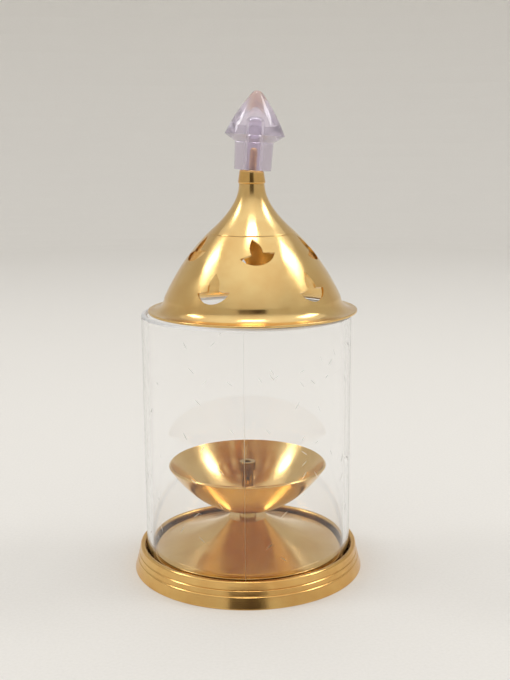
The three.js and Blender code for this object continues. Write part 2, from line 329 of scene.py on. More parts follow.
@dataclass(frozen=True)
class DrawnGlass:
    """Clear borosilicate tube: drawn smooth, with a draw line, a few handling scratches and a pale, rougher
    band at its rim whose paleness is painted highlight.
    """

    name: str = "drawn_borosilicate_glass"
    colour: str = "#FFFFFF"
    refraction: float = 1.47
    scratch_spacing_mm: float = 12.0
    scratch_run_mm: float = 100.0
    scratch_share: float = 0.009
    scratch_slants: tuple[float, ...] = (0.6, -0.9)
    scratch_roughness: float = 0.8
    draw_line_share: float = 0.997
    draw_line_half_share: float = 0.00014
    rim_band_height_mm: float = 1.0
    rim_band_fade_mm: float = 0.2
    rim_band_roughness: float = 0.6
    rim_highlight_white: float = 0.55

    def scratches(self, nodes: Nodes, circumference: float) -> Socket:
        """Adds a mask that is 1 in short slanting scratches and in the tube's one long draw line.

        Args:
            nodes: The material's nodes.
            circumference: The tube's length round, in metres.

        Returns:
            The mask.
        """
        around = nodes.turning()
        share = nodes.part(around, "X")
        mask = nodes.computed("COMPARE", share, self.draw_line_share, self.draw_line_half_share)
        stretch = (per(self.scratch_spacing_mm), per(self.scratch_run_mm), 1)
        for slant in self.scratch_slants:
            spread = {"Rotation": (0, 0, slant), "Scale": (circumference, 1, 1)}
            flat = nodes.add("ShaderNodeMapping", spread, {"Vector": around}).outputs[0]
            drawn_out = nodes.add("ShaderNodeMapping", {"Scale": stretch}, {"Vector": flat}).outputs[0]
            distance = nodes.cells(drawn_out, {"voronoi_dimensions": "2D", "Scale": 1.0})
            thin = nodes.ranged(distance, (self.scratch_share * 2, self.scratch_share))
            mask = nodes.computed("MAXIMUM", mask, thin)
        return mask

    def build(self, circumference: float, rim: float) -> bpy.types.Material:
        """Builds the material: clear glass that is rough in its scratches, and rough and pale in a band at
        its rim; the paleness is painted highlight.

        Args:
            circumference: The tube's length round, in metres.
            rim: Height of the tube's rim, in metres.

        Returns:
            The finished material.
        """
        nodes = Nodes(bpy.data.materials.new(self.name))
        mask = self.scratches(nodes, circumference)
        scratched = nodes.computed("MULTIPLY", mask, self.scratch_roughness)
        start = rim - self.rim_band_height_mm * MM
        height = nodes.part(nodes.place(), "Z")
        rim_band = nodes.ranged(height, (start, start + self.rim_band_fade_mm * MM))
        return nodes.principled(
            {"Base Color": linear(self.colour), "IOR": self.refraction},
            {
                "Roughness": nodes.computed("MULTIPLY_ADD", rim_band, self.rim_band_roughness, scratched),
                # Less transmission in the rim band lets the white base colour show: a painted highlight along
                # the rim.
                "Transmission Weight": nodes.computed("MULTIPLY_ADD", rim_band, -self.rim_highlight_white, 1.0),
            },
        )


@dataclass(frozen=True)
class MouldedClear:
    """Clear polystyrene, injection moulded: glossy, a little lilac and hazy, with slight sink waves."""

    name: str = "moulded_clear_plastic"
    colour: str = "#E2D9E7"
    refraction: float = 1.5
    haze: float = 0.15
    sink_size_mm: float = 5.0
    sink_depth_mm: float = 0.05
    gloss_range: Range = (0.03, 0.12)

    def build(self) -> bpy.types.Material:
        """Builds the material: hazy clear plastic with slow surface waves.

        Returns:
            The finished material.
        """
        nodes = Nodes(bpy.data.materials.new(self.name))
        waves = nodes.noise(nodes.place(), {"Scale": per(self.sink_size_mm), "Detail": 2.0})
        clear = {"Transmission Weight": 1.0 - self.haze, "IOR": self.refraction}
        return nodes.principled(
            {"Base Color": linear(self.colour), **clear},
            {
                "Roughness": nodes.ranged(waves, (0.4, 0.7), self.gloss_range),
                "Normal": nodes.bump(waves, self.sink_depth_mm),
            },
        )


@dataclass(frozen=True)
class PlatedSteel:
    """Zinc plated steel of the hidden screw and washers: grey, satin, with faint mottling."""

    name: str = "zinc_plated_steel"
    colour: str = "#B8BAB9"
    shadow: str = "#9A9C9E"
    crystal_size_mm: float = 1.2
    satin_range: Range = (0.28, 0.45)

    def build(self) -> bpy.types.Material:
        """Builds the material: satin grey metal whose crystals mottle it.

        Returns:
            The finished material.
        """
        nodes = Nodes(bpy.data.materials.new(self.name))
        crystals = nodes.cells(nodes.place(), {"Scale": per(self.crystal_size_mm)})
        return nodes.principled(
            {"Metallic": 1.0},
            {
                "Base Color": nodes.mixed(crystals, self.colour, self.shadow),
                "Roughness": nodes.ranged(crystals, (0.0, 1.0), self.satin_range),
            },
        )


SPUN_BRASS = Brass(
    name="spun_brass_sheet",
    colour="#EDCA88",
    warm_colour="#DDA75F",
    line_spacing_mm=0.7,
    line_depth_mm=0.004,
    wave_size_mm=16.0,
    wave_depth_mm=0.05,
    smooth=0.14,
    smudged=0.27,
    anisotropy=0.65,
)
TURNED_BRASS = Brass(
    name="turned_brass_casting",
    colour="#EAC078",
    warm_colour="#D0924A",
    line_spacing_mm=0.5,
    line_depth_mm=0.006,
    wave_size_mm=10.0,
    wave_depth_mm=0.02,
    smooth=0.13,
    smudged=0.25,
    anisotropy=0.45,
)
# A darker copy of the brass for the spacer and the wick holder: painted shade for the gap under the bowl and
# the bowl's hollow where they sit.
SHADE_DARKENED_BRASS = Brass(
    name="brass_darkened_painted_shade",
    colour="#D0A763",
    warm_colour="#8E6A3C",
    line_spacing_mm=0.4,
    line_depth_mm=0.003,
    wave_size_mm=8.0,
    wave_depth_mm=0.01,
    smooth=0.14,
    smudged=0.3,
    anisotropy=0.3,
)


@dataclass(frozen=True)
class NodeBox:
    """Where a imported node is, in millimetres: its axis, radius, and lowest and highest level."""

    axis_x: float
    radius: float
    low: float
    high: float

    @classmethod
    def of(cls, node: str) -> NodeBox:
        """Reads a node's box.

        Args:
            node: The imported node's name.

        Returns:
            The box of a piece that is round about Z.
        """
        low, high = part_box(node)
        return cls(
            axis_x=(low.x + high.x) / 2 / MM,
            radius=(high.x - low.x) / 2 / MM,
            low=low.z / MM,
            high=high.z / MM,
        )


def quadratic(start: np.ndarray, handle: np.ndarray, end: np.ndarray, t: np.ndarray) -> np.ndarray:
    """A smooth bend: (1-t)^2 start + 2t(1-t) handle + t^2 end.

    Args:
        start: First point.
        handle: The point that the bend is drawn towards.
        end: Last point.
        t: Shares of the way.

    Returns:
        The point at each share.
    """
    return (1 - t) ** 2 * start + 2 * t * (1 - t) * handle + t**2 * end


def at(places: np.ndarray | float, length: np.ndarray, line: np.ndarray) -> np.ndarray:
    """Reads a line at places along it.

    Args:
        places: The places, as lengths along the line.
        length: The length at each of the line's points.
        line: The line's points.

    Returns:
        Radius and height at each place.
    """
    return np.stack([np.interp(places, length, line[:, k]) for k in (0, 1)], axis=-1)


def bend(start: Range, end: Range, pull: Range, steps: int) -> np.ndarray:
    """A bend between two points of an outline.

    Args:
        start: First point, radius and height.
        end: Last point.
        pull: Shares of the way, in radius and in height, at which the handle lies.
        steps: Number of pieces.

    Returns:
        The points, one row each.
    """
    a, c = np.asarray(start, float), np.asarray(end, float)
    b = a + (c - a) * pull
    return quadratic(a, b, c, np.linspace(0, 1, steps + 1)[:, None])


def directions(points: np.ndarray) -> np.ndarray:
    """Unit directions along an open line of points, by central differences.

    Args:
        points: The line's points.

    Returns:
        One unit row for each point.
    """
    along = np.gradient(points, axis=0)
    return along / np.linalg.norm(along, axis=1, keepdims=True)


def beside(points: np.ndarray, distance: float) -> np.ndarray:
    """The line moved to its left by a distance, which is the other face of a sheet.

    Args:
        points: The line's points.
        distance: How far, in the line's units.

    Returns:
        The moved points.
    """
    along = directions(points)
    return points + distance * np.stack([-along[:, 1], along[:, 0]], axis=1)


def softened(outline: np.ndarray, radius: float, steps: int = 4) -> np.ndarray:
    """Rounds each real corner of an outline with a small bend, whose ends lie radius from the corner.

    Args:
        outline: The closed outline's corners, without the first one repeated.
        radius: How far from its corner a bend starts.
        steps: Pieces in each bend.

    Returns:
        The rounded outline.
    """
    back = np.roll(outline, 1, axis=0) - outline
    ahead = np.roll(outline, -1, axis=0) - outline
    back_length = np.linalg.norm(back, axis=1)
    ahead_length = np.linalg.norm(ahead, axis=1)
    cosine = np.sum(back * ahead, axis=1) / (back_length * ahead_length)
    turn = math.pi - np.arccos(np.clip(cosine, -1, 1))
    reach = np.minimum(radius, 0.45 * np.minimum(back_length, ahead_length))
    reach = np.where((turn > SOFTEN_FROM) & (outline[:, 0] > 1e-6), reach, 0.0)
    start = outline + back * (reach / back_length)[:, None]
    end = outline + ahead * (reach / ahead_length)[:, None]
    t = np.linspace(0, 1, steps + 1)[None, :, None]
    flat = quadratic(start[:, None], outline[:, None], end[:, None], t).reshape(-1, 2)
    apart = np.linalg.norm(flat - np.roll(flat, 1, axis=0), axis=1) > 1e-5
    return flat[apart]


def grid_faces(rows: int, columns: int) -> np.ndarray:
    """Quads of a grid of points, numbered row by row, facing right of a row's climb.

    Args:
        rows: Number of point rows.
        columns: Number of points in a row.

    Returns:
        One quad in each row of the array.
    """
    first = (np.arange(rows - 1)[:, None] * columns + np.arange(columns - 1)[None, :]).ravel()
    return np.stack([first, first + 1, first + 1 + columns, first + columns], axis=1)


def round_axis(line: np.ndarray, turns: np.ndarray) -> np.ndarray:
    """Carries a line round Z: radius r, height z and turn a give (r sin a, -r cos a, z).

    Args:
        line: Radius and height of each point.
        turns: Turns in radians, counted from the front.

    Returns:
        An array of points, one row of the grid for each point of the line.
    """
    radius = line[:, 0][:, None]
    height = np.broadcast_to(line[:, 1][:, None], (len(line), len(turns)))
    return np.stack([radius * np.sin(turns), -radius * np.cos(turns), height], axis=-1)


def lengths_along(line: np.ndarray) -> np.ndarray:
    """Distance of each point from the first, measured along the line.

    Args:
        line: The line's points.

    Returns:
        One distance for each point.
    """
    return np.concatenate([[0.0], np.cumsum(np.linalg.norm(np.diff(line, axis=0), axis=1))])


def supported(line: np.ndarray, near: float = 0.25) -> np.ndarray:
    """Adds a point close to each end of a line's long straight pieces, so smooth shading keeps them straight.

    Args:
        line: The line's points.
        near: How far the added points lie from the ends.

    Returns:
        The same line with more points on it.
    """
    points = [line[0]]
    for start, end in zip(line[:-1], line[1:]):
        size = float(np.linalg.norm(end - start))
        if size > 4 * near:
            points += [start + (end - start) * near / size, end - (end - start) * near / size]
        points.append(end)
    return np.array(points)


@dataclass
class Surface:
    """Points in millimetres, faces, and the turning map, gathered from several grids."""

    points: np.ndarray
    faces: list[np.ndarray]
    turning: np.ndarray

    def joined(self, other: Surface) -> Surface:
        """Puts two surfaces in one.

        Args:
            other: The surface to add.

        Returns:
            Both, not welded yet.
        """
        count = len(self.points)
        return Surface(
            np.concatenate([self.points, other.points]),
            self.faces + [faces + count for faces in other.faces],
            np.concatenate([self.turning, other.turning]),
        )


def turned_surface(line: np.ndarray, columns: int = COLUMNS, start: float = 0.0) -> Surface:
    """The surface of a line carried right round Z.

    Args:
        line: Radius and height of each point, with the solid on the line's left.
        columns: Quads round a full turn.
        start: The turn of the first column, in radians.

    Returns:
        The surface, open at the line's ends.
    """
    line = supported(line)
    turns = start + np.linspace(0, 2 * math.pi, columns + 1)
    points = round_axis(line, turns).reshape(-1, 3)
    along = np.broadcast_to(lengths_along(line)[:, None] * MM, (len(line), len(turns)))
    round_share = np.broadcast_to((turns / (2 * math.pi))[None, :], along.shape)
    turning = np.stack([round_share, along], axis=-1).reshape(-1, 2)
    return Surface(points, [grid_faces(len(line), len(turns))], turning)


def linked(name: str, data: bpy.types.ID) -> bpy.types.Object:
    """Makes an object and puts it in the scene.

    Args:
        name: The object's name.
        data: Its mesh, light or camera.

    Returns:
        The object.
    """
    made = bpy.data.objects.new(name, data)
    bpy.context.scene.collection.objects.link(made)
    return made


def make_piece(name: str, surface: Surface, move: Vector | None = None) -> bpy.types.Object:
    """Makes a welded, smooth shaded object from a surface.

    Args:
        name: The piece's name.
        surface: Its points, faces and turning map, in millimetres.
        move: How far it is moved, in millimetres.

    Returns:
        The object, at the origin, with its place in its mesh.
    """
    shift = np.array(move if move is not None else (0, 0, 0), float)
    mesh = bpy.data.meshes.new(name)
    faces = [face for group in surface.faces for face in group.tolist()]
    mesh.from_pydata(((surface.points + shift) * MM).tolist(), [], faces)
    corners = np.zeros(len(mesh.loops), np.int32)
    mesh.loops.foreach_get("vertex_index", corners)
    layer = mesh.uv_layers.new(name=TURNING_MAP)
    layer.data.foreach_set("uv", surface.turning[corners].astype(np.float32).ravel())
    welded = bmesh.new()
    welded.from_mesh(mesh)
    bmesh.ops.remove_doubles(welded, verts=welded.verts, dist=WELD)
    bmesh.ops.dissolve_degenerate(welded, dist=WELD, edges=welded.edges)
    welded.to_mesh(mesh)
    welded.free()
    mesh.shade_smooth()
    mesh.set_sharp_from_angle(angle=SHARP_FROM)
    return linked(name, mesh)


def turned_piece(name: str, outline: np.ndarray, soften: float, axis_x: float = 0.0) -> bpy.types.Object:
    """Makes a lathe-turned piece from its outline.

    Args:
        name: The piece's name.
        outline: Corners with the solid on the left. It closes on itself, or starts and ends on the axis.
        soften: How far edges are rounded, in millimetres.
        axis_x: Where the piece's axis stands, in millimetres.

    Returns:
        The object.
    """
    line = softened(outline, soften)
    if outline[0, 0] > 1e-6:
        line = np.concatenate([line, line[:1]])
    return make_piece(name, turned_surface(line), Vector((axis_x, 0, 0)))


def finish_piece(
    piece: bpy.types.Object, node: str, body: Body, material: bpy.types.Material
) -> None:
    """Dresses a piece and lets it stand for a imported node.

    Args:
        piece: The object.
        node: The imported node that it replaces.
        body: The body that it rides on.
        material: Its material.
    """
    piece.data.materials.clear()
    piece.data.materials.append(material)
    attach(piece, body.value)
    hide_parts(node)
    LOG.info("%s: %d faces", piece.name, len(piece.data.polygons))


@dataclass
class BaseStack:
    """Base ring, trumpet stand, spacer, oil bowl and wick holder, from the table up."""

    spun: bpy.types.Material
    turned: bpy.types.Material
    # the darker brass copy: painted shade for the pieces in the gap and in the bowl's hollow
    shade_darkened: bpy.types.Material
    lip_wall: float = 2.0
    channel_gap: float = 0.5
    glass_wall: float = 2.2
    inner_gap: float = 0.9
    channel_floor: float = 5.0
    web: float = 2.0
    foot_width: float = 3.2
    foot_edge: float = 0.7
    ledge_width: float = 3.4
    groove_drop: float = 3.1
    groove_spacing: float = 2.2
    groove_width: float = 0.55
    groove_depth: float = 0.35
    flare_power: float = 1.3
    lip_bevel: float = 0.4
    mouth_bevel: float = 0.5
    stand_top_radius: float = 7.6
    stand_wall: float = 1.0
    stand_rim: float = 2.3
    stand_pull: Range = (0.67, 0.43)
    stand_ring_insets: tuple[float, ...] = (1.1, 2.0)
    stand_ring_half_width: float = 0.3
    stand_ring_depth: float = 0.12
    screw_hole: float = 1.85
    thread_hole: float = 1.8
    collar_rise: float = 1.7
    collar_waist: float = 0.35
    bowl_floor_radius: float = 6.2
    bowl_wall: float = 0.9
    bowl_pull: Range = (0.55, 0.1)
    bowl_lip_share: float = 0.55
    tube_radius: float = 2.25
    tube_bore: float = 1.35
    head_height: float = 3.4
    head_drop: float = 0.8
    head_lip: float = 0.85
    foot_lip: float = 0.95
    foot_height: float = 1.2
    foot_taper: float = 0.5
    thread_depth: float = 5.3
    oil_hole_drop: float = 7.2
    oil_hole_radius: float = 0.6
    drill_reach: float = 8.0

    def base_ring(self) -> bpy.types.Object:
        """Builds the ring: its wall flares as a power of (1 - height / lip height) towards the foot.

        Returns:
            The base ring.
        """
        box = NodeBox.of("base_ring")
        glass = NodeBox.of("glass_chimney").radius
        outer = glass + self.channel_gap
        inner = glass - self.glass_wall - self.inner_gap
        lip = outer + self.lip_wall
        seat = NodeBox.of("trumpet_stand").low
        mouth_low = box.high - self.mouth_bevel
        height = np.linspace(self.foot_edge, mouth_low, 60)
        flare = lip + (box.radius - lip) * (1 - height / box.high) ** self.flare_power
        for drop in (self.groove_drop, self.groove_drop + self.groove_spacing):
            off = np.abs(height - (box.high - drop)) / (self.groove_width / 2)
            flare = flare - self.groove_depth * np.clip(1 - off, 0, 1)
        wall = np.stack([flare, height], axis=1)
        outline = np.concatenate(
            [
                [(box.radius - self.foot_width, 0), (box.radius, 0)],
                wall,
                [(lip - self.lip_bevel, box.high), (outer + self.mouth_bevel, box.high), (outer, mouth_low)],
                [(outer, self.channel_floor), (inner, self.channel_floor), (inner, seat)],
                [(inner - self.ledge_width, seat), (inner - self.ledge_width, self.channel_floor - self.web)],
                [(box.radius - self.foot_width, self.channel_floor - self.web)],
            ]
        )
        return turned_piece("base_ring_turned", outline, 0.25)

    def trumpet_stand(self) -> bpy.types.Object:
        """Builds the spun trumpet, with two faint turned rings inside its edge.

        Returns:
            The stand.
        """
        box = NodeBox.of("trumpet_stand")
        top_radius = self.stand_top_radius
        edge, top = (box.radius, box.low + self.stand_wall), (top_radius, box.high)
        sweep = bend(edge, top, self.stand_pull, 90)
        for inset in self.stand_ring_insets:
            off = np.abs(sweep[:, 0] - (box.radius - inset)) / self.stand_ring_half_width
            sweep[:, 1] -= self.stand_ring_depth * np.clip(1 - off, 0, 1)
        plain = bend(edge, top, self.stand_pull, 40)
        rim = box.radius - self.stand_rim
        under = beside(plain, self.stand_wall)[:-1]
        under = under[under[:, 0] < rim - self.stand_wall / 2][::-1]
        outline = np.concatenate(
            [
                [(rim, box.low), (box.radius, box.low)],
                sweep,
                [(self.screw_hole, box.high), (self.screw_hole, box.high - self.stand_wall)],
                [(top_radius - self.stand_wall / 2, box.high - self.stand_wall)],
                under,
            ]
        )
        return turned_piece("trumpet_stand_spun", outline, 0.3)

    def bowl_spacer(self) -> bpy.types.Object:
        """Builds the collar, drawn in a little at its middle.

        Returns:
            The spacer.
        """
        box = NodeBox.of("bowl_spacer")
        top = box.high + self.collar_rise
        height = np.linspace(box.low, top, 13)
        share = (height - box.low) / (top - box.low)
        waist = box.radius - self.collar_waist * np.sin(math.pi * share) ** 2
        outline = np.concatenate(
            [
                [(self.screw_hole, box.low)],
                np.stack([waist, height], axis=1),
                [(self.screw_hole, top)],
            ]
        )
        return turned_piece("bowl_spacer_turned", outline, 0.12)

    def oil_bowl(self) -> bpy.types.Object:
        """Builds the spun bowl with its rounded lip.

        Returns:
            The bowl.
        """
        box = NodeBox.of("oil_bowl")
        bottom = box.low + self.collar_rise
        rim_height = box.high - self.bowl_wall * self.bowl_lip_share
        outside = bend((self.bowl_floor_radius, bottom), (box.radius, rim_height), self.bowl_pull, 90)
        inside = beside(outside, self.bowl_wall)[1:][::-1]
        floor = bottom + self.bowl_wall
        outline = np.concatenate(
            [
                [(self.screw_hole, bottom)],
                outside,
                inside,
                [(self.bowl_floor_radius, floor), (self.screw_hole, floor)],
            ]
        )
        return turned_piece("oil_bowl_spun", outline, 0.38)

    def wick_holder(self) -> bpy.types.Object:
        """Builds the wick tube with its foot, head and cross-drilled oil hole.

        Returns:
            The wick holder.
        """
        box = NodeBox.of("wick_holder")
        head = self.tube_radius + self.head_lip
        head_top = box.high - self.head_drop
        head_low = head_top - self.head_height
        foot = self.tube_radius + self.foot_lip
        thread_top = box.low + self.thread_depth
        seat = box.low + self.collar_rise
        outline = np.array(
            [
                (self.thread_hole, seat),
                (foot, seat),
                (foot, seat + self.foot_height),
                (self.tube_radius, seat + self.foot_height + self.foot_taper),
                (self.tube_radius, head_low - 0.3),
                (head, head_low),
                (head, head_top),
                (self.tube_bore, head_top),
                (self.tube_bore, thread_top + 0.3),
                (self.thread_hole, thread_top),
            ]
        )
        piece = turned_piece("wick_holder_turned", outline, 0.25)
        radius, reach = self.oil_hole_radius, self.drill_reach
        rod = np.array([(0, -reach), (radius, -reach), (radius, reach), (0, reach)])
        drill = turned_piece("oil_hole_drill", rod, 0.0)
        lift = Matrix.Translation((0, 0, (box.high - self.oil_hole_drop) * MM))
        drill.data.transform(lift @ Matrix.Rotation(math.pi / 2, 4, "X"))
        cut = piece.modifiers.new("oil hole", "BOOLEAN")
        cut.object = drill
        cut.solver = "EXACT"
        graph = bpy.context.evaluated_depsgraph_get()
        drilled = bpy.data.meshes.new_from_object(piece.evaluated_get(graph))
        piece.modifiers.clear()
        piece.data = drilled
        drilled.set_sharp_from_angle(angle=SHARP_FROM)
        bpy.data.objects.remove(drill)
        return piece

    def build(self) -> None:
        """Builds and dresses all five pieces."""
        finish_piece(self.base_ring(), "base_ring", Body.BASE, self.turned)
        finish_piece(self.trumpet_stand(), "trumpet_stand", Body.BASE, self.spun)
        # The spacer and the wick holder get the darker brass copy, which is painted shade.
        finish_piece(self.bowl_spacer(), "bowl_spacer", Body.BASE, self.shade_darkened)
        finish_piece(self.oil_bowl(), "oil_bowl", Body.BASE, self.spun)
        finish_piece(self.wick_holder(), "wick_holder", Body.BASE, self.shade_darkened)


@dataclass
class Chimney:
    """The glass tube that stands in the base ring's channel."""

    glass: DrawnGlass
    wall: float = 2.2
    cut_edge: float = 0.12
    rim_steps: int = 14

    def build(self) -> None:
        """Builds the tube: its polished rim is half a circle across the wall, its lower end is cut flat."""
        box = NodeBox.of("glass_chimney")
        inner = box.radius - self.wall
        middle, half = (box.radius + inner) / 2, self.wall / 2
        angle = np.linspace(0, math.pi, self.rim_steps + 1)
        rim = np.stack([middle + half * np.cos(angle), box.high - half + half * np.sin(angle)], axis=1)
        outline = np.concatenate([[(inner, box.low), (box.radius, box.low)], rim])
        piece = turned_piece("glass_chimney_drawn", outline, self.cut_edge)
        piece.visible_shadow = False
        material = self.glass.build(2 * math.pi * box.radius * MM, box.high * MM)
        finish_piece(piece, "glass_chimney", Body.CHIMNEY, material)


@dataclass(frozen=True)
class VentRow:
    """One row of vents: its place on the dome's curve, its first turn and its tilt, in degrees."""

    place: float
    turn: float
    tilt: float


@dataclass
class Lid:
    """The dome lid with its ten vents, and the ferrule on its neck."""

    spun: bpy.types.Material
    turned: bpy.types.Material
    wall: float = 0.9
    flange_flat: float = 1.8
    bell_width: float = 6.3
    crease_rise: float = 5.5
    turn_radius: float = 14.4
    turn_rise: float = 31.7
    waist_radius: float = 4.9
    waist_rise: float = 46.6
    neck_radius: float = 4.75
    hole_radius: float = 2.1
    ferrule_gap: float = 0.06
    edge_round: float = 0.35
    bell_pull: Range = (0.85, 0.12)
    dome_pull: Range = (0.38, 0.6)
    neck_pull: Range = (0.93, 0.54)
    line_points: int = 900
    ease_reach: int = 12
    ease_spread: float = 4.0
    band_step: float = 1.0
    grid_clearance: float = 0.45
    line_over_vents: float = 0.45
    line_half_width: float = 0.28
    line_depth: float = 0.16
    vent_margin: float = 0.6
    vent_half_width: float = 6.45
    vent_bowl_depth: float = 4.6
    notch_half_width: float = 2.15
    notch_height: float = 0.45
    flame_height: float = 7.2
    flame_half_width: float = 2.8
    rows: tuple[VentRow, ...] = (VentRow(0.18, -27, 5), VentRow(0.65, 5, 12))
    sector_start: float = 27.5
    reference_radius: float = 27.0

    def dome_bend(self, box: NodeBox, steps: int) -> np.ndarray:
        """Points of the swelling curve from the crease to the turn.

        Args:
            box: The lid's box.
            steps: Number of pieces.

        Returns:
            Radius and height of each point.
        """
        crease = (box.radius - self.bell_width, box.low + self.crease_rise)
        return bend(crease, (self.turn_radius, box.low + self.turn_rise), self.dome_pull, steps)

    def outer_line(self, box: NodeBox) -> np.ndarray:
        """The lid's outer line, from the flange to the neck's top, with its crease eased.

        Args:
            box: The lid's box.

        Returns:
            Radius and height of evenly spaced points.
        """
        flange_top = box.low + self.wall
        start = (box.radius - self.flange_flat, flange_top)
        crease = (box.radius - self.bell_width, box.low + self.crease_rise)
        turn = (self.turn_radius, box.low + self.turn_rise)
        waist = (self.waist_radius, box.low + self.waist_rise)
        line = np.concatenate(
            [
                [(box.radius - 0.3, flange_top)],
                bend(start, crease, self.bell_pull, 60),
                self.dome_bend(box, 200)[1:],
                bend(turn, waist, self.neck_pull, 120)[1:],
                [(self.neck_radius, box.high)],
            ]
        )
        length = lengths_along(line)
        spaced = at(np.linspace(0, length[-1], self.line_points), length, line)
        reach = self.ease_reach
        spread = np.exp(-0.5 * (np.arange(-reach, reach + 1) / self.ease_spread) ** 2)
        padded = np.pad(spaced, ((reach, reach), (0, 0)), mode="reflect", reflect_type="odd")
        smooth = [np.convolve(padded[:, k], spread / spread.sum(), "valid") for k in (0, 1)]
        eased = np.stack(smooth, axis=1)
        eased[0], eased[-1] = line[0], line[-1]
        return eased

    def with_turned_line(self, line: np.ndarray, place: float) -> np.ndarray:
        """Cuts the thin turned line that runs round the dome just over its vents.

        Args:
            line: The lid's outer line.
            place: The line's length at which the cut lies.

        Returns:
            The outer line with its cut.
        """
        off = np.abs(lengths_along(line) - place) / self.line_half_width
        inward = beside(line, self.line_depth) - line
        return line + inward * np.clip(1 - off, 0, 1)[:, None]

    def vent_outline(self) -> np.ndarray:
        """Outline of one vent in its own plane: a round bowl with a pointed flame standing in it.

        Returns:
            Closed outline, anticlockwise, without the first point repeated.
        """
        half, depth = self.vent_half_width, self.vent_bowl_depth
        radius = (half**2 + depth**2) / (2 * depth)
        centre = radius - depth
        tip = math.atan2(centre, half)
        angle = np.linspace(math.pi + tip, 2 * math.pi - tip, 34)
        bowl = np.stack([radius * np.cos(angle), centre + radius * np.sin(angle)], axis=1)
        notch = np.array([self.notch_half_width, self.notch_height])
        flame = np.array([0.0, self.flame_height])
        arm_handle = np.array([(half + self.notch_half_width) / 2, 0.0])
        side_handle = np.array([self.flame_half_width, self.flame_height / 2])

        mirror = np.array([-1.0, 1.0])
        arm = np.linspace(0, 1, 10)[1:, None]
        side = np.linspace(0, 1, 15)[1:, None]
        right = [
            quadratic(np.array([half, 0.0]), arm_handle, notch, arm),
            quadratic(notch, side_handle, flame, side),
        ]
        left = [
            quadratic(flame, side_handle * mirror, notch * mirror, side),
            quadratic(notch * mirror, arm_handle * mirror, np.array([-half, 0.0]), arm)[:-1],
        ]
        return softened(np.concatenate([bowl, *right, *left]), 0.22, 3)

    def on_dome(self, row: VentRow, line: np.ndarray, box: NodeBox) -> np.ndarray:
        """Projects a vent's outline, square to the dome at the vent's seat, onto the outer line's surface.

        Each step compares the surface point's place in the vent's plane with the outline's and moves its
        turn and length by the difference.

        Args:
            row: The vent's row.
            line: The lid's outer line.
            box: The lid's box.

        Returns:
            Turn in radians and length along the line, for each outline point.
        """
        flat = self.vent_outline()
        tilt = math.radians(row.tilt)
        spin = np.array([[math.cos(tilt), -math.sin(tilt)], [math.sin(tilt), math.cos(tilt)]])
        flat = flat @ spin.T
        fine = self.dome_bend(box, 400)
        index = row.place * 400
        seat = at(index, np.arange(401), fine)
        along = directions(fine)[int(round(index))]
        length = lengths_along(line)
        seat_length = length[np.argmin(np.linalg.norm(line - seat, axis=1))]
        turn = np.radians(row.turn)
        right = np.array([math.cos(turn), math.sin(turn), 0.0])
        out = np.array([math.sin(turn), -math.cos(turn), 0.0])
        up = out * along[0] + np.array([0.0, 0.0, along[1]])
        origin = out * seat[0] + np.array([0.0, 0.0, seat[1]])
        a = turn + flat[:, 0] / seat[0]
        s = seat_length + flat[:, 1]
        for _ in range(30):
            radius, height = at(s, length, line).T
            point = np.stack([radius * np.sin(a), -radius * np.cos(a), height], axis=1) - origin
            a = a + (flat[:, 0] - point @ right) / radius
            s = s + 0.8 * (flat[:, 1] - point @ up)
        return np.stack([a, s], axis=1)

    def pierced_sector(self, line: np.ndarray, box: NodeBox):
        """Cuts one fifth of the vent band into triangles round its two vents.

        Args:
            line: The lid's outer line.
            box: The lid's box.

        Returns:
            Turn and length of each point, the triangles, each vent's point numbers in order, and the
            lengths at which the band starts and ends.
        """
        length = lengths_along(line)
        columns = COLUMNS // SECTORS
        first = math.radians(self.sector_start)
        outlines = []
        for row in self.rows:
            spot = self.on_dome(row, line, box)
            lift = math.ceil((first - spot[:, 0].min()) / (2 * math.pi / SECTORS) - 1e-9)
            spot[:, 0] += lift * 2 * math.pi / SECTORS
            outlines.append(spot)
        low = min(o[:, 1].min() for o in outlines) - self.vent_margin
        high = max(o[:, 1].max() for o in outlines) + self.vent_margin
        steps = int(round((high - low) / self.band_step))
        turns = first + np.linspace(0, 2 * math.pi / SECTORS, columns + 1)
        levels = np.linspace(low, high, steps + 1)
        grid = np.stack(np.meshgrid(turns, levels), axis=-1).reshape(-1, 2)
        scale = np.array([self.reference_radius, 1.0])
        edge = (
            np.isclose(grid[:, 0], turns[0])
            | np.isclose(grid[:, 0], turns[-1])
            | np.isclose(grid[:, 1], low)
            | np.isclose(grid[:, 1], high)
        )
        ring = np.concatenate(outlines)
        gap = np.linalg.norm((grid[:, None] - ring[None]) * scale, axis=2).min(axis=1)
        inside = np.any([within(grid * scale, o * scale) for o in outlines], axis=0)
        kept = grid[edge | ((gap > self.grid_clearance) & ~inside)]
        points = np.concatenate([*outlines, kept])
        edges, loops, count = [], [], 0
        for o in outlines:
            numbers = np.arange(count, count + len(o))
            edges.append(np.stack([numbers, np.roll(numbers, -1)], axis=1))
            loops.append(numbers)
            count += len(o)
        result = delaunay_2d_cdt(
            [Vector(p) for p in (points * scale).tolist()],
            [tuple(e) for e in np.concatenate(edges).tolist()],
            [],
            0,
            1e-7,
        )
        flat = np.array([tuple(v) for v in result[0]]) / scale
        triangles = np.array(result[2])
        middle = flat[triangles].mean(axis=1) * scale
        solid = ~np.any([within(middle, o * scale) for o in outlines], axis=0)
        if len(flat) != len(points):
            raise ValueError("the vent band's points were merged")
        return flat, triangles[solid], loops, low, high, length

    def dome(self) -> bpy.types.Object:
        """Builds the pierced dome: two faces a wall apart, joined round each vent, the flange and the neck.

        Returns:
            The lid.
        """
        box = NodeBox.of("lid_dome")
        line = self.outer_line(box)
        flat, triangles, loops, low, high, length = self.pierced_sector(line, box)
        inner_line = beside(line, self.wall)
        lined = self.with_turned_line(line, high + self.line_over_vents)

